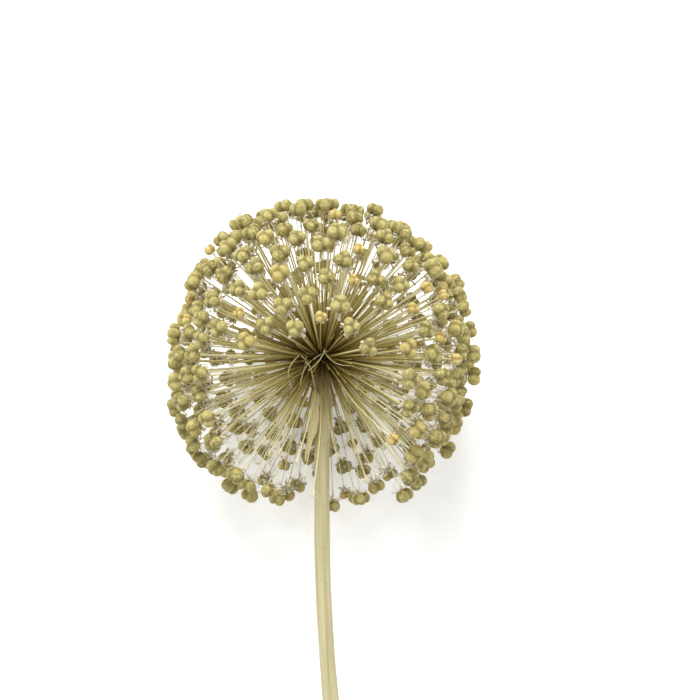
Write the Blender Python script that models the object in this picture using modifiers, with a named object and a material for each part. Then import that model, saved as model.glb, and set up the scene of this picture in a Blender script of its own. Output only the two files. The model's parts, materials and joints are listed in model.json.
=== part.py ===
"""Dried seed head of an ornamental onion (allium), cut with its stalk and lying on its side.

The umbel is a ball of stiff rays. Each ray is a thin pedicel that carries one three-lobed seed
capsule, and rays that share a foot on the receptacle form one cluster, as the flower's cymes do.
Units are metres, +Z is up, and the piece rests on its lowest capsules and on the stalk's cut end.
"""
import math

import bmesh
import bpy
import numpy as np
from mathutils import Vector

# Driving dimensions, in metres and degrees
HEAD_CENTRE_HEIGHT = 0.0600
CAPSULE_CENTRE_RADIUS = 0.0605
RADIUS_SPREAD_IN = 0.0050
RADIUS_SPREAD_OUT = 0.0012
CROWN_EXTRA_RADIUS = 0.0070
CAPSULE_WIDTH = 0.0089
CAPSULE_HEIGHT = 0.0070
PEDICEL_FOOT_DIAMETER = 0.00060
PEDICEL_NECK_DIAMETER = 0.00085
RECEPTACLE_RADIUS = 0.0046
CLUSTER_FOOT_RADIUS = 0.00090
FOOT_SPREAD = 0.00050
CLEARANCE = 0.0003
STALK_LENGTH = 0.2250
STALK_TOP_DIAMETER = 0.0060
STALK_END_DIAMETER = 0.0070
STALK_SIDE_SWEEP = 0.0200
STALK_DROP_POWER = 1.25
BRACT_THICKNESS = 0.00040

# Layout of the rays
FULL_SPHERE_RAYS = 460
CLUSTER_COUNT = 44
MIN_RAY_ANGLE = 9.6
STALK_FREE_ANGLE = 17.0
ROOT_ANGLE_SHARE = 0.76
SHRIVELLED_SHARE = 0.09
SEED = 32

STRAW = (0.597, 0.546, 0.314, 1.0)
PAPER = (0.700, 0.620, 0.360, 1.0)
OLIVE = (0.362, 0.301, 0.089, 1.0)


def clear_scene():
    for item in list(bpy.data.objects):
        bpy.data.objects.remove(item, do_unlink=True)


def new_collection(name):
    made = bpy.data.collections.new(name)
    bpy.context.scene.collection.children.link(made)
    return made


def plain_material(name, colour, roughness):
    made = bpy.data.materials.new(name)
    made.use_nodes = True
    shader = made.node_tree.nodes["Principled BSDF"]
    shader.inputs["Base Color"].default_value = colour
    shader.inputs["Roughness"].default_value = roughness
    shader.inputs["Metallic"].default_value = 0.0
    made.diffuse_color = colour
    return made


def smooth_step(low, high, value):
    t = np.clip((value - low) / (high - low), 0.0, 1.0)
    return t * t * (3.0 - 2.0 * t)


# The stalk's own line, from the head's centre (0) to the cut end (1)
def stalk_point(share):
    end_height = STALK_END_DIAMETER / 2
    drop = (1.0 - share) ** STALK_DROP_POWER
    height = end_height + (HEAD_CENTRE_HEIGHT - end_height) * drop
    bend = max(0.0, (share - 0.25) / 0.75)
    return Vector((STALK_SIDE_SWEEP * bend ** 2, -STALK_LENGTH * share, height))


def stalk_radius(share):
    top = STALK_TOP_DIAMETER / 2
    return top + (STALK_END_DIAMETER / 2 - top) * share


HEAD_CENTRE = stalk_point(0.0)
HEAD_UP = (stalk_point(0.0) - stalk_point(0.02)).normalized()
HEAD_SIDE = Vector((1.0, 0.0, 0.0))
HEAD_FRONT = HEAD_SIDE.cross(HEAD_UP)


def head_direction(polar, around):
    """A unit vector from the head's centre: polar from the crown, around from the side to the top."""
    across = HEAD_SIDE * math.cos(around) + HEAD_FRONT * math.sin(around)
    return HEAD_UP * math.cos(polar) + across * math.sin(polar)


def capsule_cover(polar, front):
    """The share of full density: full on the crown half, thin near the stalk and on the upper flank."""
    towards_stalk = 1.0 - 0.52 * smooth_step(100.0, 150.0, polar)
    bald_flank = 1.0 - 0.98 * smooth_step(62.0, 92.0, polar) * smooth_step(0.55, 0.86, front)
    return towards_stalk * bald_flank


def ray_directions(rng):
    """Golden-angle directions thinned by capsule_cover, then pushed apart to an even spacing."""
    index = np.arange(FULL_SPHERE_RAYS) + 0.5
    polar = np.arccos(1.0 - 2.0 * index / FULL_SPHERE_RAYS)
    around = index * math.pi * (3.0 - math.sqrt(5.0))
    local = np.stack([np.sin(polar) * np.cos(around), np.sin(polar) * np.sin(around), np.cos(polar)], 1)
    local += rng.normal(0.0, 0.030, local.shape)
    local /= np.linalg.norm(local, axis=1)[:, None]
    polar = np.degrees(np.arccos(local[:, 2]))
    front = local[:, 1] / np.maximum(np.sin(np.radians(polar)), 1e-6)
    kept = rng.random(len(local)) < capsule_cover(polar, front)
    local = local[kept & (polar < 180.0 - STALK_FREE_ANGLE)]
    free = 2.0 * math.sin(math.radians(MIN_RAY_ANGLE) / 2)
    lowest = -math.cos(math.radians(STALK_FREE_ANGLE))
    for _ in range(80):
        fall = np.maximum(-(local @ np.array([0.0, HEAD_FRONT.z, HEAD_UP.z])), 1e-6)
        floor_reach = (HEAD_CENTRE.z - CAPSULE_WIDTH / 2) / fall
        widen = np.maximum(1.0, CAPSULE_CENTRE_RADIUS / floor_reach)
        wanted = free * np.maximum(widen[:, None], widen[None, :])
        apart = local[:, None, :] - local[None, :, :]
        gap = np.linalg.norm(apart, axis=2) + np.eye(len(local)) * 9.0
        push = np.where(gap < wanted, (wanted - gap) * 0.5, 0.0)
        local = local + (apart / gap[:, :, None] * push[:, :, None]).sum(1)
        local[:, 2] = np.maximum(local[:, 2], lowest)
        local /= np.linalg.norm(local, axis=1)[:, None]
    return local


def cluster_of_rays(local):
    """Each ray's cluster: even groups on the sphere, found by moving centres to their rays' middle."""
    centres = [local[0]]
    while len(centres) < CLUSTER_COUNT:
        nearest = np.max(local @ np.array(centres).T, axis=1)
        centres.append(local[int(np.argmin(nearest))])
    centres = np.array(centres)
    for _ in range(60):
        owner = np.argmax(local @ centres.T, axis=1)
        for number in range(CLUSTER_COUNT):
            middle = local[owner == number].sum(0)
            centres[number] = middle / np.linalg.norm(middle)
    return owner, centres


def to_polar(vector):
    return math.acos(max(-1.0, min(1.0, vector[2]))), math.atan2(vector[1], vector[0])


def lowest_reach(axis, half_width, half_height):
    """How far an upright-turned capsule reaches below its centre."""
    return math.sqrt((half_width ** 2) * (1.0 - axis.z ** 2) + (half_height * axis.z) ** 2)


def ray_points(foot, foot_aim, vector, rng):
    """The ray's line with its half widths: root, neck, belly and crown of its capsule."""
    polar, around = to_polar(vector)
    aim = head_direction(polar, around)
    spread = (aim - foot_aim) * (FOOT_SPREAD / 0.20)
    root = foot + spread * min(1.0, FOOT_SPREAD / max(spread.length, 1e-9))
    shrivelled = rng.random() < SHRIVELLED_SHARE
    size = rng.uniform(0.60, 0.72) if shrivelled else rng.uniform(0.88, 1.05)
    reach = CAPSULE_CENTRE_RADIUS + rng.uniform(-RADIUS_SPREAD_IN, RADIUS_SPREAD_OUT)
    reach += CROWN_EXTRA_RADIUS * max(0.0, math.cos(polar))
    half_width = CAPSULE_WIDTH / 2 * size
    half_height = CAPSULE_HEIGHT / 2 * size
    below = lowest_reach(aim, half_width, half_height) * 0.94
    if aim.z < 0.0:
        reach = min(reach, (HEAD_CENTRE.z - below) / -aim.z)
    centre = HEAD_CENTRE + aim * reach
    axis = (centre - root).normalized()
    neck = PEDICEL_NECK_DIAMETER / 2
    return [
        (root, PEDICEL_FOOT_DIAMETER / 2),
        (centre - axis * half_height, neck),
        (centre - axis * half_height * 0.05, half_width),
        (centre + axis * half_height * 0.92, half_width * 0.52),
    ]


def lobed_outline(guides):
    """The capsule's section: three lobes with a groove between each two."""
    data = bpy.data.curves.new("capsule_section", "CURVE")
    data.dimensions = "2D"
    line = data.splines.new("POLY")
    line.points.add(5)
    line.use_cyclic_u = True
    for number in range(6):
        turn = math.radians(60.0 * number)
        radius = 1.0 if number % 2 == 0 else 0.88
        line.points[number].co = (radius * math.cos(turn), radius * math.sin(turn), 0.0, 1.0)
    outline = bpy.data.objects.new("capsule_section", data)
    outline.hide_render = True
    outline.display_type = "WIRE"
    guides.objects.link(outline)
    return outline


def tube_mesh(name, lines, guides, outline=None):
    """A mesh of closed tubes, one for each line of (point, half width)."""
    data = bpy.data.curves.new(name, "CURVE")
    data.dimensions = "3D"
    data.use_fill_caps = True
    if outline:
        data.bevel_mode = "OBJECT"
        data.bevel_object = outline
    else:
        data.bevel_depth = 1.0
        data.bevel_resolution = 4
    for points, turn in lines:
        line = data.splines.new("POLY")
        line.points.add(len(points) - 1)
        for slot, (place, half_width) in zip(line.points, points):
            slot.co = (*place, 1.0)
            slot.radius = half_width
            slot.tilt = turn
    curve = bpy.data.objects.new(name + "_line", data)
    guides.objects.link(curve)
    bpy.context.view_layer.update()
    graph = bpy.context.evaluated_depsgraph_get()
    mesh = bpy.data.meshes.new_from_object(curve.evaluated_get(graph))
    bpy.data.objects.remove(curve, do_unlink=True)
    bpy.data.curves.remove(data)
    shape = bmesh.new()
    shape.from_mesh(mesh)
    bmesh.ops.remove_doubles(shape, verts=shape.verts, dist=1e-6)
    bmesh.ops.recalc_face_normals(shape, faces=shape.faces)
    shape.to_mesh(mesh)
    shape.free()
    mesh.name = name
    return mesh


def ball(name, radius, place, collection, segments, rings):
    shape = bmesh.new()
    bmesh.ops.create_uvsphere(shape, u_segments=segments, v_segments=rings, radius=radius)
    mesh = bpy.data.meshes.new(name)
    shape.to_mesh(mesh)
    shape.free()
    made = bpy.data.objects.new(name, mesh)
    made.location = place
    collection.objects.link(made)
    return made


def join_solid(target, mesh, guides):
    """Unites a mesh of overlapping tubes with the target object."""
    cutter = bpy.data.objects.new(mesh.name + "_joined", mesh)
    cutter.hide_render = True
    cutter.display_type = "WIRE"
    guides.objects.link(cutter)
    union = target.modifiers.new("join", "BOOLEAN")
    union.operation = "UNION"
    union.solver = "EXACT"
    union.use_self = True
    union.object = cutter


def make_clusters(parts, guides, material, rng):
    local = ray_directions(rng)
    owner, centres = cluster_of_rays(local)
    outline = lobed_outline(guides)
    order = sorted(range(CLUSTER_COUNT), key=lambda n: (-centres[n][2], centres[n][0]))
    foot_reach = RECEPTACLE_RADIUS + CLEARANCE + CLUSTER_FOOT_RADIUS
    for place, number in enumerate(order, start=1):
        name = f"ray_cluster_{place:02d}"
        polar, around = to_polar(centres[number])
        foot = HEAD_CENTRE + head_direction(polar * ROOT_ANGLE_SHARE, around) * foot_reach
        foot_aim = head_direction(polar, around)
        lines = []
        for vector in local[owner == number]:
            lines.append((ray_points(foot, foot_aim, vector, rng), rng.uniform(0.0, math.tau)))
        cluster = ball(name, CLUSTER_FOOT_RADIUS, foot, parts, 6, 4)
        cluster.data.materials.append(material)
        join_solid(cluster, tube_mesh(name + "_rays", lines, guides, outline), guides)
    return len(local)


def make_stalk(parts, guides, material):
    """The scape as one tapered tube, with the receptacle grown on its top."""
    shares = [0.004] + [0.055 * step for step in range(1, 19)] + [1.0]
    points = [(stalk_point(share), stalk_radius(share)) for share in shares]
    mesh = tube_mesh("flower_stalk", [(points, 0.0)], guides)
    stalk = bpy.data.objects.new("flower_stalk", mesh)
    stalk.data.materials.append(material)
    parts.objects.link(stalk)
    knob = ball("receptacle_knob", RECEPTACLE_RADIUS, HEAD_CENTRE, guides, 16, 10)
    knob.hide_render = True
    knob.display_type = "WIRE"
    knob.rotation_euler = HEAD_UP.to_track_quat("Z", "Y").to_euler()
    union = stalk.modifiers.new("receptacle", "BOOLEAN")
    union.operation = "UNION"
    union.solver = "EXACT"
    union.object = knob


def make_bract(name, parts, material, facing, start, length, width, flare):
    """A dry papery valve of the spathe: a leaf-shaped grid wrapped round the stalk, then thickened."""
    mesh = bpy.data.meshes.new(name)
    shape = bmesh.new()
    bmesh.ops.create_grid(shape, x_segments=5, y_segments=9, size=1.0)
    for corner in shape.verts:
        along = (corner.co.y + 1.0) / 2
        leaf = 0.30 + 0.70 * math.sin(math.pi * min(1.0, along * 0.85 + 0.12)) ** 0.8
        leaf *= 1.0 - 0.80 * along ** 5
        share = (start + length * along) / STALK_LENGTH
        forward = (stalk_point(share + 0.01) - stalk_point(share)).normalized()
        out_side = (HEAD_SIDE - forward * HEAD_SIDE.dot(forward)).normalized()
        out_top = out_side.cross(forward)
        skin = stalk_radius(share) + CLEARANCE * 1.4 + BRACT_THICKNESS / 2
        radius = skin + flare * along ** 1.3 + 0.0002 * math.cos(corner.co.x * 5.0)
        turn = math.radians(facing) + corner.co.x * leaf * width / 2 / radius
        corner.co = stalk_point(share) + (out_side * math.cos(turn) + out_top * math.sin(turn)) * radius
    bmesh.ops.recalc_face_normals(shape, faces=shape.faces)
    shape.to_mesh(mesh)
    shape.free()
    bract = bpy.data.objects.new(name, mesh)
    bract.data.materials.append(material)
    parts.objects.link(bract)
    wall = bract.modifiers.new("paper", "SOLIDIFY")
    wall.thickness = BRACT_THICKNESS
    wall.offset = 0.0


def rest_on_floor(parts, guides):
    """Moves the whole piece so that its box stands on the origin by the middle of its foot."""
    holder = bpy.data.objects.new("seed_head_origin", None)
    bpy.context.scene.collection.objects.link(holder)
    for item in [*parts.objects, *guides.objects]:
        item.parent = holder
    bpy.context.view_layer.update()
    graph = bpy.context.evaluated_depsgraph_get()
    corners = []
    for item in parts.objects:
        shown = item.evaluated_get(graph)
        mesh = shown.to_mesh()
        flat = np.empty(len(mesh.vertices) * 3)
        mesh.vertices.foreach_get("co", flat)
        world = flat.reshape(-1, 3) + np.array(item.matrix_world.translation)
        corners += [world.min(0), world.max(0)]
        shown.to_mesh_clear()
    low = np.min(corners, axis=0)
    high = np.max(corners, axis=0)
    holder.location = (-(low[0] + high[0]) / 2, -(low[1] + high[1]) / 2, -low[2])
    bpy.context.view_layer.update()
    return high - low


def main():
    clear_scene()
    rng = np.random.default_rng(SEED)
    parts = new_collection("dried_allium_seed_head")
    guides = new_collection("guides")
    straw = plain_material("pale_straw_stalk", STRAW, 0.62)
    paper = plain_material("papery_bract", PAPER, 0.55)
    olive = plain_material("olive_seed_rays", OLIVE, 0.72)
    make_stalk(parts, guides, straw)
    make_bract("spathe_bract_1", parts, paper, 196.0, 0.0085, 0.0270, 0.0100, 0.0034)
    make_bract("spathe_bract_2", parts, paper, 62.0, 0.0085, 0.0190, 0.0070, 0.0012)
    count = make_clusters(parts, guides, olive, rng)
    size = rest_on_floor(parts, guides)
    print("rays", count, "nodes", len(parts.objects), "size in mm", [round(v * 1000, 1) for v in size])


main()
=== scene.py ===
# %% [markdown]
# # A dried allium seed head, lying on its side
#
# An allium is an ornamental onion. Its flower head is an umbel: some three hundred thin stalks, the
# pedicels, spread from one knob at the top of a bare stem. After flowering each pedicel carries a
# seed capsule with three swollen lobes, and the whole ball dries stiff and pale. This file starts
# from a plain solid model of one such head and grows the fine surface over it: capsules, withered
# petals, stamen threads, pedicels, stem and the papery bract below the ball.

# %% Load the solid model
import json
import math

import bmesh
import bpy
import numpy as np
from mathutils import Matrix, Vector, noise

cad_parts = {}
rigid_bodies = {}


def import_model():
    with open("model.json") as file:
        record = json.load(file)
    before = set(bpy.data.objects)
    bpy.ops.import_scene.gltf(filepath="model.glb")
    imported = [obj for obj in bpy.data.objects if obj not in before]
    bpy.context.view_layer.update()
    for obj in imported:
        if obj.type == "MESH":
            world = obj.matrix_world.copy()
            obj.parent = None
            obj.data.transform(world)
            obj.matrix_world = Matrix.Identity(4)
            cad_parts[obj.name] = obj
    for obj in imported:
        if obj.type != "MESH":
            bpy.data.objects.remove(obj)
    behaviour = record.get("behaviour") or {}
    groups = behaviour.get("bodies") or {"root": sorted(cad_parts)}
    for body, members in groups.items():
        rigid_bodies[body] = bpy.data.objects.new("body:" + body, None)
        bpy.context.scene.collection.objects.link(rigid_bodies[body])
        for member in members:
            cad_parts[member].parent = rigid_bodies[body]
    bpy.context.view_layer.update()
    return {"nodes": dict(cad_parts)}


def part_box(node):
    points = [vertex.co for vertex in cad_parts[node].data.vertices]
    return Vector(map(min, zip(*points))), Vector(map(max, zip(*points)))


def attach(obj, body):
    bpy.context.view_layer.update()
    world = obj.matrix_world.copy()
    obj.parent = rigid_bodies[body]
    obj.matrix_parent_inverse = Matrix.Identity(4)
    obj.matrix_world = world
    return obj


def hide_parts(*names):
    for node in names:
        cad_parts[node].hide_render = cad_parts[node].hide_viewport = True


for item in list(bpy.data.objects):
    bpy.data.objects.remove(item, do_unlink=True)
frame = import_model()
CLUSTERS = sorted(name for name in frame["nodes"] if name.startswith("ray_cluster"))
rng = np.random.default_rng(11)

# %% [markdown]
# ## Where each capsule sits
#
# The solid model has one solid for each cluster of rays. Far from the middle of the head, a solid
# is only its capsules, each cut free from its neighbours, so the vertices there fall into separate
# islands. Each island gives one capsule: its middle, the line of its stalk, its width and the turn
# of its lobes. Reading them from the solids keeps the fine pieces exactly where the model has them.

# %% Find the capsules in the solids
MM = 0.001
KNOB_RADIUS = 0.0046
CAPSULES_BEYOND = 0.0378


def merged_mesh(node):
    """A welded copy of a node's loose triangles."""
    shape = bmesh.new()
    shape.from_mesh(frame["nodes"][node].data)
    bmesh.ops.remove_doubles(shape, verts=shape.verts, dist=0.00001)
    shape.verts.index_update()
    return shape


def islands(verts):
    """Groups of vertices joined by edges within the given list, always in the same order."""
    left = {vert.index for vert in verts}
    for first in verts:
        if first.index not in left:
            continue
        left.remove(first.index)
        todo = [first]
        group = []
        while todo:
            vert = todo.pop()
            group.append(vert)
            for edge in vert.link_edges:
                other = edge.other_vert(vert)
                if other.index in left:
                    left.remove(other.index)
                    todo.append(other)
        yield group


stalk_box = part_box("flower_stalk")
head_guess = Vector((0.0, stalk_box[1].y - KNOB_RADIUS, stalk_box[1].z - KNOB_RADIUS))
sites = []
for node in CLUSTERS:
    shape = merged_mesh(node)
    far = [v for v in shape.verts if (v.co - head_guess).length > CAPSULES_BEYOND]
    for group in islands(far):
        out = np.array([v.co for v in group])
        middle = out.mean(0)
        aim = middle - np.array(head_guess)
        aim /= np.linalg.norm(aim)
        along = (out - middle) @ aim
        order = np.argsort(along)
        neck = out[order[:6]].mean(0)
        crown = out[order[-6:]].mean(0)
        belly = out[order[6:12]]
        axis = (crown - neck) / np.linalg.norm(crown - neck)
        centre = belly.mean(0)
        spokes = belly - centre
        width = np.linalg.norm(spokes, axis=1)
        lobe = spokes[int(np.argmax(width))]
        sites.append((centre, axis, width.max() * 2, lobe / np.linalg.norm(lobe), neck))
    shape.free()
centres = np.array([s[0] for s in sites])
axes = np.array([s[1] for s in sites])
widths = np.array([s[2] for s in sites])
lobes = np.array([s[3] for s in sites])
necks = np.array([s[4] for s in sites])

# The head's middle is the point nearest to the lines of all the capsules' stalks.
side_of = np.eye(3)[None] - axes[:, :, None] * axes[:, None, :]
head = np.linalg.solve(side_of.sum(0), (side_of @ centres[:, :, None]).sum(0)[:, 0])
print("capsules", len(sites), "head middle", head.round(4), "width mm", (widths.mean() * 1000).round(2))

# %% [markdown]
# ## The stem's line
#
# The stem's solid is a tube whose rings of corners lie one after another along it. Slicing those
# corners by their place along the stem gives the middle and the thickness of each ring, and a
# smooth curve through them carries everything that grows on the stem.

# %% Read the stem's rings
shape = merged_mesh("flower_stalk")
skin = np.array([v.co for v in shape.verts])
shape.free()
skin = skin[np.argsort(skin[:, 1])]
cuts = np.where(np.diff(skin[:, 1]) > 0.0035)[0] + 1
rings = [ring for ring in np.split(skin, cuts) if len(ring) >= 10 and ring[:, 1].max() < head[1] - 0.004]
rings = [ring if len(ring) < 14 else ring[:12] for ring in rings]
ring_middle = np.array([ring.mean(0) for ring in rings])
ring_radius = np.array([np.linalg.norm(r - m, axis=1).max() for r, m in zip(rings, ring_middle)])
stem_line = np.vstack([ring_middle, head])
stem_width = np.append(ring_radius, ring_radius[-1])
STEM_LENGTH = float(np.linalg.norm(np.diff(stem_line, axis=0), axis=1).sum())
print("stem rings", len(rings), "radius mm", (ring_radius * 1000).round(2))


def stem_at(share):
    """A point of the stem's middle line: 0 at the cut end, 1 at the head's middle."""
    steps = np.append(0.0, np.cumsum(np.linalg.norm(np.diff(stem_line, axis=0), axis=1)))
    place = np.clip(share, 0.0, 1.0) * steps[-1]
    return np.array([np.interp(place, steps, stem_line[:, k]) for k in range(3)])


def stem_radius(share):
    return float(np.interp(share, np.linspace(0, 1, len(stem_width)), stem_width))


head_up = head - stem_at(0.93)
head_up /= np.linalg.norm(head_up)
head_side = np.array([1.0, 0.0, 0.0])
head_front = np.cross(head_side, head_up)
print("head points up the stem along", head_up.round(3))

# %% [markdown]
# ## Materials
#
# Everything here is dry plant tissue: no metal, hardly any gloss, a rough cellulose surface whose
# colour changes from cell to cell. One function adds a shader node with its settings and links, and
# each material mixes its colours by attributes that the pieces carry (how far along a pedicel, how
# much painted shade a capsule's groove gets, which capsule) and by noise whose scale is a real size.

# %% Helpers for materials
def linear(hexed):
    """An sRGB hex colour as linear RGBA."""
    parts = [int(hexed[i:i + 2], 16) / 255 for i in (1, 3, 5)]
    return tuple(c / 12.92 if c <= 0.04045 else ((c + 0.055) / 1.055) ** 2.4 for c in parts) + (1.0,)


def add(tree, kind, inputs=None, **settings):
    """Adds a node: settings are its properties, inputs are values or sockets to link."""
    node = tree.nodes.new(kind)
    for key, value in settings.items():
        setattr(node, key, value)
    for key, value in (inputs or {}).items():
        socket = node.inputs[key]
        if isinstance(value, bpy.types.NodeSocket):
            tree.links.new(value, socket)
        else:
            socket.default_value = value
    return node


def blank_material(name, roughness, specular=0.3):
    made = bpy.data.materials.new(name)
    made.use_nodes = True
    shader = made.node_tree.nodes["Principled BSDF"]
    shader.inputs["Roughness"].default_value = roughness
    shader.inputs["Specular IOR Level"].default_value = specular
    return made, made.node_tree, shader


def colour_mix(tree, factor, first, second, blend="MIX"):
    """Two colours mixed by a factor; each may be a hex colour or a socket."""
    node = add(tree, "ShaderNodeMix", data_type="RGBA", blend_type=blend)
    for key, value in ((0, factor), (6, first), (7, second)):
        if isinstance(value, bpy.types.NodeSocket):
            tree.links.new(value, node.inputs[key])
        else:
            node.inputs[key].default_value = linear(value) if isinstance(value, str) else value
    return node.outputs[2]


def ranged(tree, value, low, high, out_low=0.0, out_high=1.0):
    node = add(tree, "ShaderNodeMapRange", {"Value": value, "From Min": low, "From Max": high,
                                            "To Min": out_low, "To Max": out_high})
    return node.outputs["Result"]


def per_metre(size_mm):
    """The noise scale whose pattern repeats about every size_mm."""
    return 1000.0 / size_mm


# %% [markdown]
# ### Capsule skin
#
# The capsule's wall is a thin dry husk: khaki and matt. Painted shade darkens it in the grooves where
# the three chambers meet, in the pit at the crown and at the foot, so the lobes' backs read paler.
# Each capsule gets its own tint, because some ripened earlier than others, and a fine mottle of about
# half a millimetre breaks up the flat colour.

# %% Capsule and shrivelled capsule
def capsule_material(name, pale, middle, dark, groove, rough):
    made, tree, shader = blank_material(name, rough, 0.25)
    place = add(tree, "ShaderNodeTexCoord").outputs["Object"]
    tint = add(tree, "ShaderNodeAttribute", attribute_name="tint").outputs["Fac"]
    painted_shade = add(tree, "ShaderNodeAttribute", attribute_name="groove").outputs["Fac"]
    mottle = add(tree, "ShaderNodeTexNoise", {"Vector": place, "Scale": per_metre(1.1), "Detail": 4.0})
    blotch = add(tree, "ShaderNodeTexNoise", {"Vector": place, "Scale": per_metre(3.2), "Detail": 2.0})
    body = colour_mix(tree, tint, dark, middle)
    body = colour_mix(tree, ranged(tree, tint, 0.88, 1.0, 0.0, 0.5), body, "#b39a4c")
    body = colour_mix(tree, ranged(tree, mottle.outputs["Fac"], 0.40, 0.68), body, pale)
    body = colour_mix(tree, ranged(tree, blotch.outputs["Fac"], 0.56, 0.72, 0.0, 0.45), body, groove)
    # Painted shade: the grooves, the crown's pit and the foot turn towards the groove colour.
    body = colour_mix(tree, ranged(tree, painted_shade, 0.35, 1.0, 0.0, 0.85), body, groove)
    tree.links.new(body, shader.inputs["Base Color"])
    bump = add(tree, "ShaderNodeBump", {"Height": mottle.outputs["Fac"], "Strength": 0.35,
                                        "Distance": 0.0002})
    tree.links.new(bump.outputs["Normal"], shader.inputs["Normal"])
    return made


husk = capsule_material("dry_khaki_capsule_husk", "#cbbf82", "#b0a463", "#857a40", "#5f5226", 0.6)
amber_husk = capsule_material("shrivelled_amber_husk", "#e2d28c", "#cdb666", "#ad914b", "#85693a", 0.6)

# %% [markdown]
# ### Pedicels, withered petals and the stem
#
# A pedicel is a fibrous straw. Near the knob, where hundreds crowd together, it is a dark brown-olive,
# partly its own colour and partly painted shade of the crowded core, and outwards it bleaches to pale
# straw, so the colour follows an attribute that runs from 0 at the knob to 1 at the capsule, between a
# dark and a pale run of colours. The withered petals and threads are thin as tissue and almost white.
# The stem is smooth and pale, with faint lengthwise fibres, and browner where it meets the knob.

# %% Pedicel, petal, stem and bract materials
def outward_ramp(tree, along, stops):
    """A colour that changes along a pedicel, from the knob (0) to the capsule (1)."""
    node = add(tree, "ShaderNodeValToRGB", {"Fac": along})
    ramp = node.color_ramp
    ramp.elements[0].position, ramp.elements[0].color = stops[0][0], linear(stops[0][1])
    ramp.elements[1].position, ramp.elements[1].color = stops[-1][0], linear(stops[-1][1])
    for position, colour in stops[1:-1]:
        ramp.elements.new(position).color = linear(colour)
    return node.outputs["Color"]


def straw_ray_material():
    made, tree, shader = blank_material("fibrous_pedicel_straw", 0.55, 0.35)
    along = add(tree, "ShaderNodeAttribute", attribute_name="along").outputs["Fac"]
    tint = add(tree, "ShaderNodeAttribute", attribute_name="tint").outputs["Fac"]
    # Both runs start dark at the knob: partly the straw's own brown, partly painted shade of the crowded
    # core.
    dark = outward_ramp(tree, along, ((0.06, "#38290c"), (0.20, "#5b4611"), (0.38, "#85712d"),
                                      (0.60, "#a8974f"), (0.95, "#c2b473")))
    pale = outward_ramp(tree, along, ((0.06, "#65501a"), (0.20, "#a08b45"), (0.38, "#cabb76"),
                                      (0.60, "#e3daa4"), (0.95, "#ece5bc")))
    body = colour_mix(tree, ranged(tree, tint, 0.25, 0.85), dark, pale)
    tree.links.new(body, shader.inputs["Base Color"])
    return made


def tissue_material(name, pale, warm, rough, thin=0.3):
    """Thin dry tissue: it lets a little light through, so a back-lit edge glows."""
    made, tree, shader = blank_material(name, rough, 0.3)
    tint = add(tree, "ShaderNodeAttribute", attribute_name="tint").outputs["Fac"]
    body = colour_mix(tree, tint, warm, pale)
    tree.links.new(body, shader.inputs["Base Color"])
    through = add(tree, "ShaderNodeBsdfTranslucent", {"Color": body})
    both = add(tree, "ShaderNodeMixShader", {"Fac": thin, 1: shader.outputs[0], 2: through.outputs[0]})
    tree.links.new(both.outputs[0], tree.nodes["Material Output"].inputs["Surface"])
    return made


def stem_material():
    made, tree, shader = blank_material("smooth_bleached_scape", 0.5, 0.35)
    shader.inputs["Sheen Weight"].default_value = 0.3
    shader.inputs["Sheen Roughness"].default_value = 0.4
    place = add(tree, "ShaderNodeTexCoord").outputs["Object"]
    straight = add(tree, "ShaderNodeAttribute", attribute_name="straightened").outputs["Vector"]
    long_fibre = add(tree, "ShaderNodeMapping", {"Vector": straight, "Scale": (1.0, 0.025, 1.0)})
    fibre = add(tree, "ShaderNodeTexNoise", {"Vector": long_fibre.outputs[0], "Scale": per_metre(1.1),
                                             "Detail": 4.0})
    cloud = add(tree, "ShaderNodeTexNoise", {"Vector": place, "Scale": per_metre(14), "Detail": 3.0})
    fleck = add(tree, "ShaderNodeTexNoise", {"Vector": place, "Scale": per_metre(2.2), "Detail": 2.0})
    body = colour_mix(tree, ranged(tree, fibre.outputs["Fac"], 0.35, 0.68), "#afa57a", "#ccc49b")
    body = colour_mix(tree, ranged(tree, cloud.outputs["Fac"], 0.45, 0.72, 0.0, 0.5), body, "#b9ab78")
    body = colour_mix(tree, ranged(tree, fleck.outputs["Fac"], 0.66, 0.78, 0.0, 0.5), body, "#a08c58")
    along = add(tree, "ShaderNodeAttribute", attribute_name="along").outputs["Fac"]
    body = colour_mix(tree, ranged(tree, along, 0.90, 0.985, 0.0, 0.9), body, "#5c491c")
    body = colour_mix(tree, ranged(tree, along, 0.0, 0.0015, 1.0, 0.0), body, "#e6dcb6")
    tree.links.new(body, shader.inputs["Base Color"])
    bump = add(tree, "ShaderNodeBump", {"Height": fibre.outputs["Fac"], "Strength": 0.2,
                                        "Distance": 0.0002})
    tree.links.new(bump.outputs["Normal"], shader.inputs["Normal"])
    return made


ray_straw = straw_ray_material()
petal_tissue = tissue_material("withered_petal_tissue", "#fbf7ea", "#e6dcb8", 0.6)
bract_paper = tissue_material("papery_spathe_skin", "#f7f1cf", "#eadfae", 0.5, 0.5)
stem_skin = stem_material()
print("materials", [m.name for m in bpy.data.materials])

# %% [markdown]
# ## One capsule, three times over
#
# A ripe allium capsule is three rounded chambers pressed together round a short axis. Its outline
# from any side is the outermost of three overlapping ovals, so the cage asks each direction how far
# out the furthest of the three ovals lies. A few dozen faces are enough, and one level of
# subdivision rounds them. Four cages give variety: plump, three clear balls, one that has begun to
# split at its crown, and a small shrivelled one that has dried amber.

# %% Capsule cages
# The spokes stand close to each groove at 60 degrees, so that the groove stays narrow.
LOBE_STEPS = (-37, 0, 37, 60)
LONGITUDES = [120 * lobe + step for lobe in range(3) for step in LOBE_STEPS]
LATITUDES = (-62, -34, -4, 26, 54)


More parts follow.
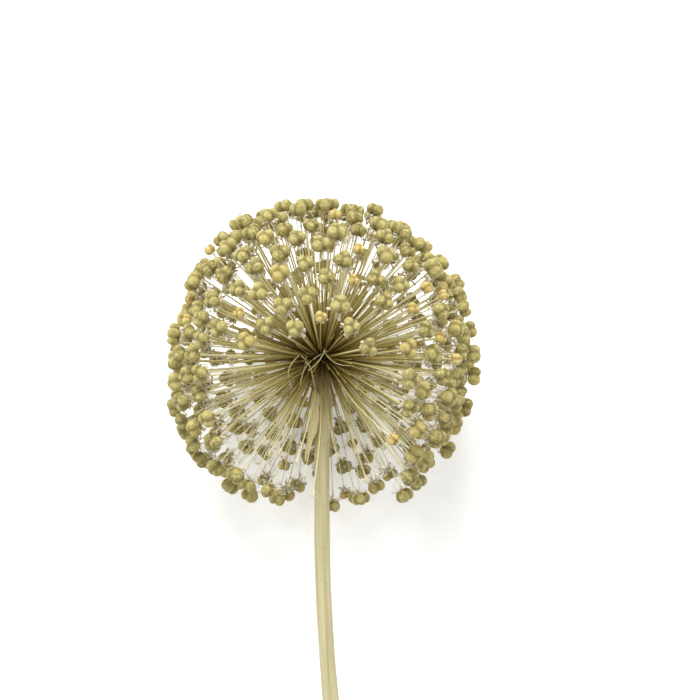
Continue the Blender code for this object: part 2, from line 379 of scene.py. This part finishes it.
def lobed_reach(direction, lobe_offset, lobe_size, lobe_height):
    """Distance from the middle to the outermost of three overlapping ovals, along a direction."""
    furthest = 0.0
    flat = Vector((direction.x, direction.y, direction.z / lobe_height))
    for number in range(3):
        turn = math.tau * number / 3
        oval = Vector((math.cos(turn), math.sin(turn), 0.0)) * lobe_offset
        half = flat.dot(oval)
        inside = half * half - flat.length_squared * (oval.length_squared - lobe_size ** 2)
        if inside >= 0.0:
            furthest = max(furthest, (half + math.sqrt(inside)) / flat.length_squared)
    return furthest


def capsule_cage(name, lobe_offset, lobe_size, lobe_height, dimple, split, seam, material):
    """A capsule of unit half width, its stalk along -Z and its first lobe along +X.

    The lobes are ovals set off from the middle. The crown dips by the dimple, the grooves open
    upwards by the split, and the seam is a faint furrow down the back of each lobe.
    """
    shape = bmesh.new()
    painted_shade = shape.verts.layers.float.new("groove")
    rows = []
    for degrees in LATITUDES:
        row = []
        for spoke in LONGITUDES:
            turn = math.radians(spoke)
            level = math.radians(degrees)
            flat = math.cos(level)
            way = Vector((flat * math.cos(turn), flat * math.sin(turn), math.sin(level)))
            reach = lobed_reach(way, lobe_offset, lobe_size, lobe_height)
            between = 0.5 - 0.5 * math.cos(3.0 * turn)
            opened = split * between * max(0.0, math.sin(level))
            crease = 0.22 * between ** 6 + (seam if spoke % 120 == 0 and degrees > -50 else 0.0)
            vert = shape.verts.new(way * reach * (1.05 - crease - opened))
            # Painted shade: strongest in the grooves, and more on the lowest row, under the capsule.
            vert[painted_shade] = between ** 2 * 0.9 + (0.25 if degrees < -50 else 0.0)
            row.append(vert)
        rows.append(row)
    for low, high in zip(rows, rows[1:]):
        for step in range(len(low)):
            after = (step + 1) % len(low)
            shape.faces.new((low[step], low[after], high[after], high[step]))
    low_reach = lobed_reach(Vector((0, 0, -1)), lobe_offset, lobe_size, lobe_height)
    bottom = shape.verts.new((0.0, 0.0, -low_reach))
    top_reach = lobed_reach(Vector((0, 0, 1)), lobe_offset, lobe_size, lobe_height)
    top = shape.verts.new((0.0, 0.0, top_reach - dimple))
    # Painted shade in the pit at the crown and at the foot.
    top[painted_shade] = 1.0
    bottom[painted_shade] = 0.6
    for step in range(len(LONGITUDES)):
        after = (step + 1) % len(LONGITUDES)
        shape.faces.new((rows[0][after], rows[0][step], bottom))
        shape.faces.new((rows[-1][step], rows[-1][after], top))
    mesh = bpy.data.meshes.new(name)
    for face in shape.faces:
        face.smooth = True
    shape.to_mesh(mesh)
    shape.free()
    mesh.materials.append(material)
    cage = bpy.data.objects.new(name, mesh)
    bpy.context.scene.collection.objects.link(cage)
    print(name, len(mesh.polygons), "faces, half width", round(max(v.co.xy.length for v in mesh.vertices), 3))
    return cage


plump = capsule_cage("plump_capsule", 0.35, 0.69, 0.94, 0.20, 0.04, 0.030, husk)
three_ball = capsule_cage("three_ball_capsule", 0.42, 0.62, 1.00, 0.24, 0.08, 0.010, husk)
splitting = capsule_cage("splitting_capsule", 0.45, 0.60, 1.12, 0.34, 0.30, 0.05, husk)
shrunken = capsule_cage("shrunken_capsule", 0.34, 0.66, 1.15, 0.26, 0.22, 0.08, amber_husk)

# %% [markdown]
# ## Planting the capsules with Geometry Nodes
#
# A cloud of points carries, for each capsule, its turn, its size, its tint and which cage it takes.
# Instance on Points puts the cages there. The same tree plants the petals and the threads later, so
# it is built by one function. It ends in Realize Instances, because an exported model keeps only
# real geometry.

# %% A point cloud with attributes, and the planting tree
def frame_turn(axis, lobe):
    """The turn that takes +Z to the axis and +X towards the lobe."""
    up = Vector(axis).normalized()
    ahead = (Vector(lobe) - up * Vector(lobe).dot(up)).normalized()
    return Matrix((ahead, up.cross(ahead), up)).transposed().to_euler()


def float_attribute(mesh, key, values):
    layer = mesh.attributes.new(key, "FLOAT", "POINT")
    layer.data.foreach_set("value", np.array(values, dtype=np.float32))


def point_cloud(name, places, turns, sizes, kinds, tints):
    mesh = bpy.data.meshes.new(name)
    mesh.from_pydata([tuple(p) for p in places], [], [])
    for key, kind, values in (("turn", "FLOAT_VECTOR", turns), ("size", "FLOAT_VECTOR", sizes)):
        layer = mesh.attributes.new(key, kind, "POINT")
        layer.data.foreach_set("vector", np.array(values, dtype=np.float32).reshape(-1))
    mesh.attributes.new("kind", "INT", "POINT").data.foreach_set("value", np.array(kinds, dtype=np.int32))
    float_attribute(mesh, "tint", tints)
    cloud = bpy.data.objects.new(name, mesh)
    bpy.context.scene.collection.objects.link(cloud)
    return cloud


def named(tree, name, kind):
    node = add(tree, "GeometryNodeInputNamedAttribute", data_type=kind)
    node.inputs["Name"].default_value = name
    return node.outputs["Attribute"]


def planting_tree(name, cages):
    """Puts one of the cages on each point, by the point's kind, and makes the result real."""
    tree = bpy.data.node_groups.new(name, "GeometryNodeTree")
    tree.interface.new_socket("Geometry", in_out="INPUT", socket_type="NodeSocketGeometry")
    size_input = tree.interface.new_socket("Size", in_out="INPUT", socket_type="NodeSocketFloat")
    size_input.default_value = 1.0
    tree.interface.new_socket("Geometry", in_out="OUTPUT", socket_type="NodeSocketGeometry")
    start = add(tree, "NodeGroupInput")
    end = add(tree, "NodeGroupOutput")
    joined = add(tree, "GeometryNodeJoinGeometry")
    grown = add(tree, "ShaderNodeVectorMath", {0: named(tree, "size", "FLOAT_VECTOR"),
                                               "Scale": start.outputs["Size"]}, operation="SCALE")
    turned = add(tree, "FunctionNodeEulerToRotation", {0: named(tree, "turn", "FLOAT_VECTOR")})
    for number, cage in enumerate(cages):
        source = add(tree, "GeometryNodeObjectInfo", {"Object": cage})
        chosen = add(tree, "FunctionNodeCompare", {2: named(tree, "kind", "INT"), 3: number},
                     data_type="INT", operation="EQUAL")
        planted = add(tree, "GeometryNodeInstanceOnPoints", {
            "Points": start.outputs["Geometry"], "Selection": chosen.outputs[0],
            "Instance": source.outputs["Geometry"], "Rotation": turned.outputs[0],
            "Scale": grown.outputs["Vector"]})
        tree.links.new(planted.outputs[0], joined.inputs[0])
    real = add(tree, "GeometryNodeRealizeInstances", {0: joined.outputs[0]})
    tree.links.new(real.outputs[0], end.inputs[0])
    return tree, size_input.identifier


def grow(cloud, tree, size_socket, name, size=1.0):
    """Runs a planting tree on a cloud and keeps the result as a plain mesh object."""
    modifier = cloud.modifiers.new("plant", "NODES")
    modifier.node_group = tree
    modifier[size_socket] = size
    bpy.context.view_layer.update()
    graph = bpy.context.evaluated_depsgraph_get()
    mesh = bpy.data.meshes.new_from_object(cloud.evaluated_get(graph))
    cloud.modifiers.clear()
    bpy.data.objects.remove(cloud, do_unlink=True)
    mesh.name = name
    made = bpy.data.objects.new(name, mesh)
    bpy.context.scene.collection.objects.link(made)
    return made


def remove_sources(*sources):
    for source in sources:
        bpy.data.objects.remove(source, do_unlink=True)


# %% Plant the capsules
SHRUNKEN_BELOW = 0.0070
small = widths < SHRUNKEN_BELOW
kinds = np.where(small, 3, rng.choice([0, 0, 0, 1, 1, 2], len(widths)))
turns = [frame_turn(axis, lobe) for axis, lobe in zip(axes, lobes)]
half = widths / 2
squash = rng.uniform(0.92, 1.04, len(widths))
sizes = np.stack([half, half, half * squash], 1)
tints = np.clip(rng.normal(0.55, 0.28, len(widths)), 0.0, 1.0)
cloud = point_cloud("capsule_points", centres, turns, sizes, kinds, tints)
tree, socket = planting_tree("plant_capsules", [plump, three_ball, splitting, shrunken])
capsules = grow(cloud, tree, socket, "seed_capsules")
rounding = capsules.modifiers.new("round", "SUBSURF")
rounding.levels = 1
rounding.render_levels = 1
remove_sources(plump, three_ball, splitting, shrunken)
print("capsule piece", len(capsules.data.polygons), "faces;", int(small.sum()), "shrunken")

# %% [markdown]
# ## Withered petals and stamen threads
#
# Under each capsule hang the six petals of the old flower, dried to pale twisted straps, and the
# thin threads of its stamens. One skirt of petals and one spray of threads are modelled, in two
# versions each, and planted under every capsule with its own turn.

# %% Petal skirts and thread sprays
def strap(shape, points, widths_along, sideways, thickness):
    """A thin closed ribbon through the points."""
    loops = []
    for place, width in zip(points, widths_along):
        out = place.normalized() if place.length > 0 else Vector((1, 0, 0))
        lift = Vector((out.x, out.y, 0.6)).normalized() * thickness
        corners = (place - sideways * width, place - lift, place + sideways * width, place + lift)
        loops.append([shape.verts.new(c) for c in corners])
    for low, high in zip(loops, loops[1:]):
        for step in range(4):
            after = (step + 1) % 4
            shape.faces.new((low[step], low[after], high[after], high[step]))
    shape.faces.new(loops[0][::-1])
    shape.faces.new(loops[-1])


def skirt(name, count, reach, drop, width, seed, material, steps=4):
    """Straps that leave the capsule's foot and fall back along the pedicel, in capsule half widths."""
    local = np.random.default_rng(seed)
    shape = bmesh.new()
    for number in range(count):
        turn = math.tau * (number + local.uniform(-0.3, 0.3)) / count
        out = Vector((math.cos(turn), math.sin(turn), 0.0))
        side = Vector((-out.y, out.x, 0.0))
        far = reach * local.uniform(0.7, 1.15)
        fall = drop * local.uniform(0.5, 1.3)
        curl = local.uniform(-0.25, 0.25)
        places = []
        for step in range(steps + 1):
            t = step / steps
            bow = math.sin(t * math.pi * 0.75)
            places.append(out * far * bow + side * curl * t * t - Vector((0, 0, 0.62 + fall * t * t)))
        taper = [width * (0.5 + math.sin(math.pi * min(1.0, 0.15 + 0.85 * step / steps))) * 0.7
                 for step in range(steps + 1)]
        strap(shape, places, taper, side, width * 0.25)
    bmesh.ops.recalc_face_normals(shape, faces=shape.faces)
    for face in shape.faces:
        face.smooth = True
    mesh = bpy.data.meshes.new(name)
    shape.to_mesh(mesh)
    shape.free()
    mesh.materials.append(material)
    made = bpy.data.objects.new(name, mesh)
    bpy.context.scene.collection.objects.link(made)
    return made


petals_a = skirt("petal_skirt_a", 6, 0.82, 0.42, 0.170, 1, petal_tissue)
petals_b = skirt("petal_skirt_b", 5, 1.00, 0.28, 0.140, 2, petal_tissue)
threads_a = skirt("thread_spray_a", 6, 0.80, 0.90, 0.042, 3, petal_tissue)
threads_b = skirt("thread_spray_b", 5, 0.95, 0.60, 0.038, 4, petal_tissue)


LEAST_SKIRT = 2.8 * MM


def grow_skirts(name, cages, seed, share, size_range):
    local = np.random.default_rng(seed)
    chosen = np.where(local.random(len(centres)) < share)[0]
    spins = local.uniform(0.0, math.tau, len(chosen))
    turned = []
    for index, spin in zip(chosen, spins):
        euler = frame_turn(axes[index], lobes[index])
        turned.append((euler.to_matrix() @ Matrix.Rotation(spin, 3, "Z")).to_euler())
    scale = local.uniform(*size_range, len(chosen)) * np.maximum(half[chosen], LEAST_SKIRT)
    kinds_here = local.integers(0, len(cages), len(chosen))
    tint = np.clip(local.normal(0.6, 0.3, len(chosen)), 0, 1)
    points = point_cloud(name + "_points", centres[chosen], turned, np.stack([scale] * 3, 1),
                         kinds_here, tint)
    tree, socket = planting_tree("plant_" + name, cages)
    made = grow(points, tree, socket, name)
    print(name, len(made.data.polygons), "faces")
    return made


petals = grow_skirts("withered_petals", [petals_a, petals_b], 21, 0.92, (0.8, 1.1))
threads = grow_skirts("stamen_threads", [threads_a, threads_b], 22, 0.9, (0.8, 1.15))
remove_sources(petals_a, petals_b, threads_a, threads_b)

# %% [markdown]
# ## Pedicels
#
# Each pedicel is a straw less than a millimetre thick that leaves the knob at its own small scar
# and runs almost straight to its capsule. A curve with a round profile is the natural way: Geometry
# Nodes turn a set of poly lines into tubes, thinner or thicker by each point's own radius, and the
# line's attribute "along" travels to the surface for the colour.

# %% Lines for the pedicels
ROOT_ANGLE_SHARE = 0.76
RAY_STEPS = 6
INTO_CAPSULE = 0.6 * MM


def knob_place(direction):
    """Where a ray leaves the knob: the lowest rays start higher up and bend down past the stem."""
    level = float(np.clip(direction @ head_up, -1, 1))
    polar = math.acos(level) * ROOT_ANGLE_SHARE
    flat = direction - head_up * level
    flat /= max(np.linalg.norm(flat), 1e-9)
    return head + (head_up * math.cos(polar) + flat * math.sin(polar)) * KNOB_RADIUS * 0.9


def ray_line(end, aim, thick, bow, local):
    """Points, radii and outward shares of one pedicel, with a slight bow."""
    root = knob_place(aim)
    cross = np.cross(aim, local.normal(size=3))
    cross /= np.linalg.norm(cross)
    shares = np.linspace(0.0, 1.0, RAY_STEPS + 1)
    places = root + (end - root) * shares[:, None] + cross * (np.sin(shares * math.pi) * bow)[:, None]
    radii = thick * (1.15 - 0.45 * shares + 0.35 * np.clip((shares - 0.88) / 0.12, 0, 1))
    return places, radii, shares


def lines_object(name, lines):
    """Poly lines as a mesh of edges with radius, along and tint on each point."""
    places, edges, radius, along, tint = [], [], [], [], []
    for line_places, radii, shares, shade in lines:
        first = len(places)
        places += [tuple(p) for p in line_places]
        edges += [(first + k, first + k + 1) for k in range(len(line_places) - 1)]
        radius += list(radii)
        along += list(shares)
        tint += [shade] * len(line_places)
    mesh = bpy.data.meshes.new(name)
    mesh.from_pydata(places, edges, [])
    for key, values in (("width", radius), ("along", along), ("tint", tint)):
        float_attribute(mesh, key, values)
    made = bpy.data.objects.new(name, mesh)
    bpy.context.scene.collection.objects.link(made)
    return made


def tube_tree(name, sides, material):
    """Turns edges into closed tubes whose half width is the point attribute width."""
    tree = bpy.data.node_groups.new(name, "GeometryNodeTree")
    tree.interface.new_socket("Geometry", in_out="INPUT", socket_type="NodeSocketGeometry")
    thickness = tree.interface.new_socket("Thickness", in_out="INPUT", socket_type="NodeSocketFloat")
    thickness.default_value = 1.0
    tree.interface.new_socket("Geometry", in_out="OUTPUT", socket_type="NodeSocketGeometry")
    start = add(tree, "NodeGroupInput")
    end = add(tree, "NodeGroupOutput")
    curve = add(tree, "GeometryNodeMeshToCurve", {"Mesh": start.outputs["Geometry"]})
    profile = add(tree, "GeometryNodeCurvePrimitiveCircle", {"Resolution": sides, "Radius": 1.0})
    wide = add(tree, "ShaderNodeMath", {0: named(tree, "width", "FLOAT"), 1: start.outputs["Thickness"]},
               operation="MULTIPLY")
    sized = add(tree, "GeometryNodeSetCurveRadius", {"Curve": curve.outputs[0], "Radius": wide.outputs[0]})
    tube = add(tree, "GeometryNodeCurveToMesh", {
        "Curve": sized.outputs[0], "Profile Curve": profile.outputs[0], "Fill Caps": True})
    if "Scale" in tube.inputs:
        tree.links.new(wide.outputs[0], tube.inputs["Scale"])
    smooth = add(tree, "GeometryNodeSetShadeSmooth", {0: tube.outputs[0]})
    painted = add(tree, "GeometryNodeSetMaterial", {"Geometry": smooth.outputs[0], "Material": material})
    real = add(tree, "GeometryNodeRealizeInstances", {0: painted.outputs[0]})
    tree.links.new(real.outputs[0], end.inputs[0])
    return tree, thickness.identifier


ray_rng = np.random.default_rng(31)
ray_lines = []
for centre, axis, neck in zip(centres, axes, necks):
    aim = (centre - head) / np.linalg.norm(centre - head)
    lower = aim @ head_up < -0.10
    thick = ray_rng.uniform(0.20, 0.31) if lower else ray_rng.uniform(0.30, 0.43)
    bow = ray_rng.uniform(0.3, 2.2) if lower else ray_rng.uniform(0.0, 1.2)
    # The lower rays take only the paler tints: partly their own bleached colour, partly painted light against
    # the shade under the head.
    shade = float(ray_rng.uniform(0.5, 1.0) if lower else ray_rng.random())
    places, radii, shares = ray_line(neck + axis * INTO_CAPSULE, aim, thick * MM, bow * MM, ray_rng)
    ray_lines.append((places, radii, shares, shade))
tree, socket = tube_tree("ray_tubes", 5, ray_straw)
pedicels = grow(lines_object("ray_lines", ray_lines), tree, socket, "pedicels")
print("pedicels", len(ray_lines), "faces", len(pedicels.data.polygons))

# %% [markdown]
# ## Empty and broken rays
#
# Some pedicels have lost their capsule and end in a wisp of petals. On the open flank short stubs
# stand on the knob, where whole rays have broken off, and a few snapped straws lie across them.
# They are thin trim, and they fill the gaps in the ball as they do on the real head.

# %% Empty rays, stubs and snapped straws
EMPTY_RAYS = 110
SNAPPED_STRAWS = 6
STUBS = 80
HEAD_REACH = 0.060
EMPTY_SHORTEST, EMPTY_LONGEST = 0.040, 0.057
CLEAR_ANGLE = 4.2
spare_rng = np.random.default_rng(43)
empty_ends = []
empty_aims = []
spare_lines = []
while len(empty_ends) < EMPTY_RAYS:
    aim = spare_rng.normal(size=3)
    aim /= np.linalg.norm(aim)
    front = aim @ head_front
    clear = np.degrees(np.arccos(np.clip(((centres - head) @ aim)
                                         / np.linalg.norm(centres - head, axis=1), -1, 1))).min()
    lowest = head[2] + aim[2] * 0.056
    if aim @ head_up < -0.93 or clear < CLEAR_ANGLE or lowest < 3 * MM or front > 0.72:
        continue
    end = head + aim * spare_rng.uniform(EMPTY_SHORTEST, EMPTY_LONGEST)
    places, radii, shares = ray_line(end, aim, spare_rng.uniform(0.22, 0.36) * MM,
                                     spare_rng.uniform(0.5, 2.0) * MM, spare_rng)
    spare_lines.append((places, radii, shares, float(spare_rng.uniform(0.3, 0.9))))
    empty_ends.append(end)
    empty_aims.append(aim)
for number in range(SNAPPED_STRAWS):
    middle = head + head_front * spare_rng.uniform(0.008, 0.014) + head_up * spare_rng.uniform(-0.016, 0.006)
    middle = middle + head_side * spare_rng.uniform(-0.012, 0.012)
    way = head_side * spare_rng.uniform(-1, 1) + head_up * spare_rng.uniform(-0.8, 0.8)
    way = way / np.linalg.norm(way) * spare_rng.uniform(0.005, 0.010)
    shares = np.linspace(0.0, 1.0, 8)
    aside = np.cross(way / np.linalg.norm(way), head_front) * spare_rng.uniform(-0.0045, 0.0045)
    bow = np.sin(shares * math.pi)[:, None] * (head_front * spare_rng.uniform(0.0005, 0.0025) + aside)
    places = middle + way * (shares - 0.5)[:, None] * 2 + bow
    spare_lines.append((places, np.linspace(0.30, 0.18, 8) * MM, 0.55 + 0.3 * shares, 0.6))
stubs = 0
while stubs < STUBS:
    aim = spare_rng.normal(size=3)
    aim /= np.linalg.norm(aim)
    if aim @ head_front < 0.45 or not -0.75 < aim @ head_up < 0.55:
        continue
    length = spare_rng.uniform(0.009, 0.024)
    places, radii, shares = ray_line(head + aim * length, aim, spare_rng.uniform(0.20, 0.32) * MM,
                                     spare_rng.uniform(0.1, 1.0) * MM, spare_rng)
    spare_lines.append((places, radii, shares * length / HEAD_REACH, float(spare_rng.random())))
    stubs += 1
tree, socket = tube_tree("spare_tubes", 5, ray_straw)
spare = grow(lines_object("spare_lines", spare_lines), tree, socket, "empty_and_snapped_rays")
tuft_a = skirt("tuft_a", 7, 0.9, 0.9, 0.05, 5, petal_tissue)
tuft_b = skirt("tuft_b", 5, 0.7, 1.1, 0.08, 6, petal_tissue)
tuft_turns = [frame_turn(aim, np.cross(aim, spare_rng.normal(size=3))) for aim in empty_aims]
tuft_size = spare_rng.uniform(0.0018, 0.0030, EMPTY_RAYS)
tuft_places = np.array(empty_ends) + np.array(empty_aims) * tuft_size[:, None] * 0.6
tuft_cloud = point_cloud("tuft_points", tuft_places, tuft_turns, np.stack([tuft_size] * 3, 1),
                         spare_rng.integers(0, 2, EMPTY_RAYS), spare_rng.uniform(0.5, 1.0, EMPTY_RAYS))
tree, socket = planting_tree("plant_tufts", [tuft_a, tuft_b])
tufts = grow(tuft_cloud, tree, socket, "empty_ray_tufts")
remove_sources(tuft_a, tuft_b)
print("empty rays", EMPTY_RAYS, "snapped", SNAPPED_STRAWS, "stubs", stubs)

# %% [markdown]
# ## Stem
#
# The scape is a smooth hollow stalk, bleached to straw. It is a tube along the stem's line with
# many more steps than the solid has, a flare into the knob at its top and a slight waver, as no
# grown stem is exactly even.

# %% Stem and knob
STEM_STEPS = 90
STEM_SIDES = 28
stem_shares = np.linspace(0.0, 1.0, STEM_STEPS + 1)
stem_places = np.array([stem_at(s) for s in stem_shares])
waver = 1.0 + 0.012 * np.sin(stem_shares * 47.0) + 0.010 * np.sin(stem_shares * 19.0 + 1.0)
stem_radii = np.array([stem_radius(s) for s in stem_shares]) * waver * 0.985
near_top = np.clip((stem_shares - 0.965) / 0.02, 0, 1)
stem_radii = stem_radii * (1 - near_top) + KNOB_RADIUS * 0.95 * near_top
stem_radii[-3:] = KNOB_RADIUS * np.array([0.95, 0.85, 0.55])
tree, socket = tube_tree("stem_tube", STEM_SIDES, stem_skin)
stem = grow(lines_object("stem_line", [(stem_places, stem_radii, stem_shares, 0.5)]), tree, socket, "stem")
# The fibres follow the stem, so the surface also carries its place as if the stem were straight.
corners = np.array([v.co for v in stem.data.vertices])
ring_of = np.arange(len(corners)) // STEM_SIDES
straight = corners - stem_places[ring_of]
straight[:, 1] = stem_shares[ring_of] * STEM_LENGTH
layer = stem.data.attributes.new("straightened", "FLOAT_VECTOR", "POINT")
layer.data.foreach_set("vector", straight.astype(np.float32).reshape(-1))
print("stem faces", len(stem.data.polygons), "corners", len(corners), "rings", ring_of.max() + 1)

# %% [markdown]
# ## Papery bract
#
# Before it flowers, the head is wrapped in a spathe: a thin skin that splits and dries back along
# the stem. The solids of its two valves already have the right shape. Each is copied with finer
# faces, and noise pushes the copy's corners by up to half a millimetre, so that it looks crumpled.

# %% Bract valves
def crumpled_bract(node, name):
    """The valve's solid with finer faces, gently crumpled like dried skin."""
    shape = merged_mesh(node)
    bmesh.ops.subdivide_edges(shape, edges=shape.edges, cuts=2, use_grid_fill=True)
    for vert in shape.verts:
        waves = noise.noise_vector(vert.co * 260.0) * 0.5 + noise.noise_vector(vert.co * 620.0) * 0.25
        vert.co += waves * 0.0007
    for face in shape.faces:
        face.smooth = True
    mesh = bpy.data.meshes.new(name)
    shape.to_mesh(mesh)
    shape.free()
    mesh.materials.append(bract_paper)
    shades = [0.5 + 0.9 * noise.noise(vert.co * 900.0) for vert in mesh.vertices]
    float_attribute(mesh, "tint", shades)
    made = bpy.data.objects.new(name, mesh)
    bpy.context.scene.collection.objects.link(made)
    return made


bracts = [crumpled_bract(f"spathe_bract_{number}", f"papery_valve_{number}") for number in (1, 2)]
print("bract faces", [len(bract.data.polygons) for bract in bracts])

# %% [markdown]
# ## Fixing the pieces to the solid model
#
# Nothing moves, so every piece rides on the one body. Capsules, pedicels, petals and threads stand
# for the clusters of rays, the stem for the stalk's solid and the crumpled valves for the bracts.

# %% Ride and replace
for piece in (capsules, petals, threads, pedicels, spare, tufts, stem):
    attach(piece, "root")
for piece in (capsules, pedicels, petals, threads):
    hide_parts(*CLUSTERS)
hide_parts("flower_stalk")
for number, bract in enumerate(bracts, start=1):
    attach(bract, "root")
    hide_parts(f"spathe_bract_{number}")

# %% [markdown]
# ## Floor, light and camera
#
# The head lies on a plain white sheet. Large soft lamps stand round it, one above its crown and one
# at each side, so that shadows stay open. The camera looks down at about right angles to the stem.
# The sheet reads white to the camera, more so far from the head, and keeps the head's shadow.

# %% Floor and backdrop
def floor_material():
    """White paper that glows a little for the camera only, and fully white beyond the shadow."""
    made, tree, shader = blank_material("white_paper_sheet", 0.9, 0.1)
    shader.inputs["Base Color"].default_value = linear("#f4f4f2")
    seen = add(tree, "ShaderNodeLightPath").outputs["Is Camera Ray"]
    place = add(tree, "ShaderNodeTexCoord").outputs["Object"]
    far = add(tree, "ShaderNodeVectorMath", {0: place}, operation="LENGTH").outputs["Value"]
    glow = add(tree, "ShaderNodeEmission", {"Color": (1.0, 1.0, 1.0, 1.0),
                                            "Strength": ranged(tree, far, 0.25, 0.60, 0.28, 1.0)})
    lit = add(tree, "ShaderNodeAddShader", {0: shader.outputs[0], 1: glow.outputs[0]})
    both = add(tree, "ShaderNodeMixShader", {"Fac": seen, 1: shader.outputs[0], 2: lit.outputs[0]})
    tree.links.new(both.outputs[0], tree.nodes["Material Output"].inputs["Surface"])
    return made


bpy.ops.mesh.primitive_plane_add(size=6.0, location=(0.0, 0.0, 0.0))
floor = bpy.context.object
floor.name = "white_sheet"
floor.data.materials.append(floor_material())

world = bpy.data.worlds.new("soft_white_room")
bpy.context.scene.world = world
world.use_nodes = True
sky = world.node_tree.nodes["Background"]
sky.inputs["Color"].default_value = (1.0, 1.0, 1.0, 1.0)
sky.inputs["Strength"].default_value = 0.45
path = add(world.node_tree, "ShaderNodeLightPath")
seen = add(world.node_tree, "ShaderNodeMath", {0: path.outputs["Is Camera Ray"],
                                               1: path.outputs["Is Glossy Ray"]}, operation="MAXIMUM")
white = add(world.node_tree, "ShaderNodeBackground", {"Color": (1.0, 1.0, 1.0, 1.0), "Strength": 1.0})
room = add(world.node_tree, "ShaderNodeMixShader", {"Fac": seen.outputs[0], 1: sky.outputs[0],
                                                    2: white.outputs[0]})
world.node_tree.links.new(room.outputs[0], world.node_tree.nodes["World Output"].inputs["Surface"])


def soft_lamp(name, place, aim, size, power):
    data = bpy.data.lights.new(name, "AREA")
    data.shape = "SQUARE"
    data.size = size
    data.energy = power
    lamp = bpy.data.objects.new(name, data)
    lamp.location = place
    lamp.rotation_euler = (Vector(aim) - Vector(place)).to_track_quat("-Z", "Y").to_euler()
    bpy.context.scene.collection.objects.link(lamp)
    return lamp


head_middle = Vector(head)
soft_lamp("lamp_above", head_middle + Vector((-0.15, 0.55, 0.95)), head_middle, 0.6, 13.0)
soft_lamp("lamp_left", head_middle + Vector((-1.0, -0.2, 0.45)), head_middle, 0.8, 4.0)
soft_lamp("lamp_right", head_middle + Vector((1.0, -0.1, 0.45)), head_middle, 0.8, 4.0)

# %% Camera
LENS = 100.0
SENSOR = 36.0
VIEW_WIDTH = 0.280
ELEVATION = math.radians(73.0)
data = bpy.data.cameras.new("camera")
data.lens = LENS
data.sensor_width = SENSOR
camera = bpy.data.objects.new("camera", data)
bpy.context.scene.collection.objects.link(camera)
bpy.context.scene.camera = camera
distance = VIEW_WIDTH * LENS / SENSOR
back = Vector((0.0, -math.cos(ELEVATION), math.sin(ELEVATION)))
camera.rotation_euler = (-back).to_track_quat("-Z", "Y").to_euler()
up = camera.rotation_euler.to_matrix() @ Vector((0.0, 1.0, 0.0))
target = head_middle + Vector((1.0, 0.0, 0.0)) * 0.0112 + up * 0.0048
camera.location = target + back * distance
data.clip_start = 0.01
data.clip_end = 20.0
bpy.context.scene.view_settings.view_transform = "Standard"
print("camera", camera.location)
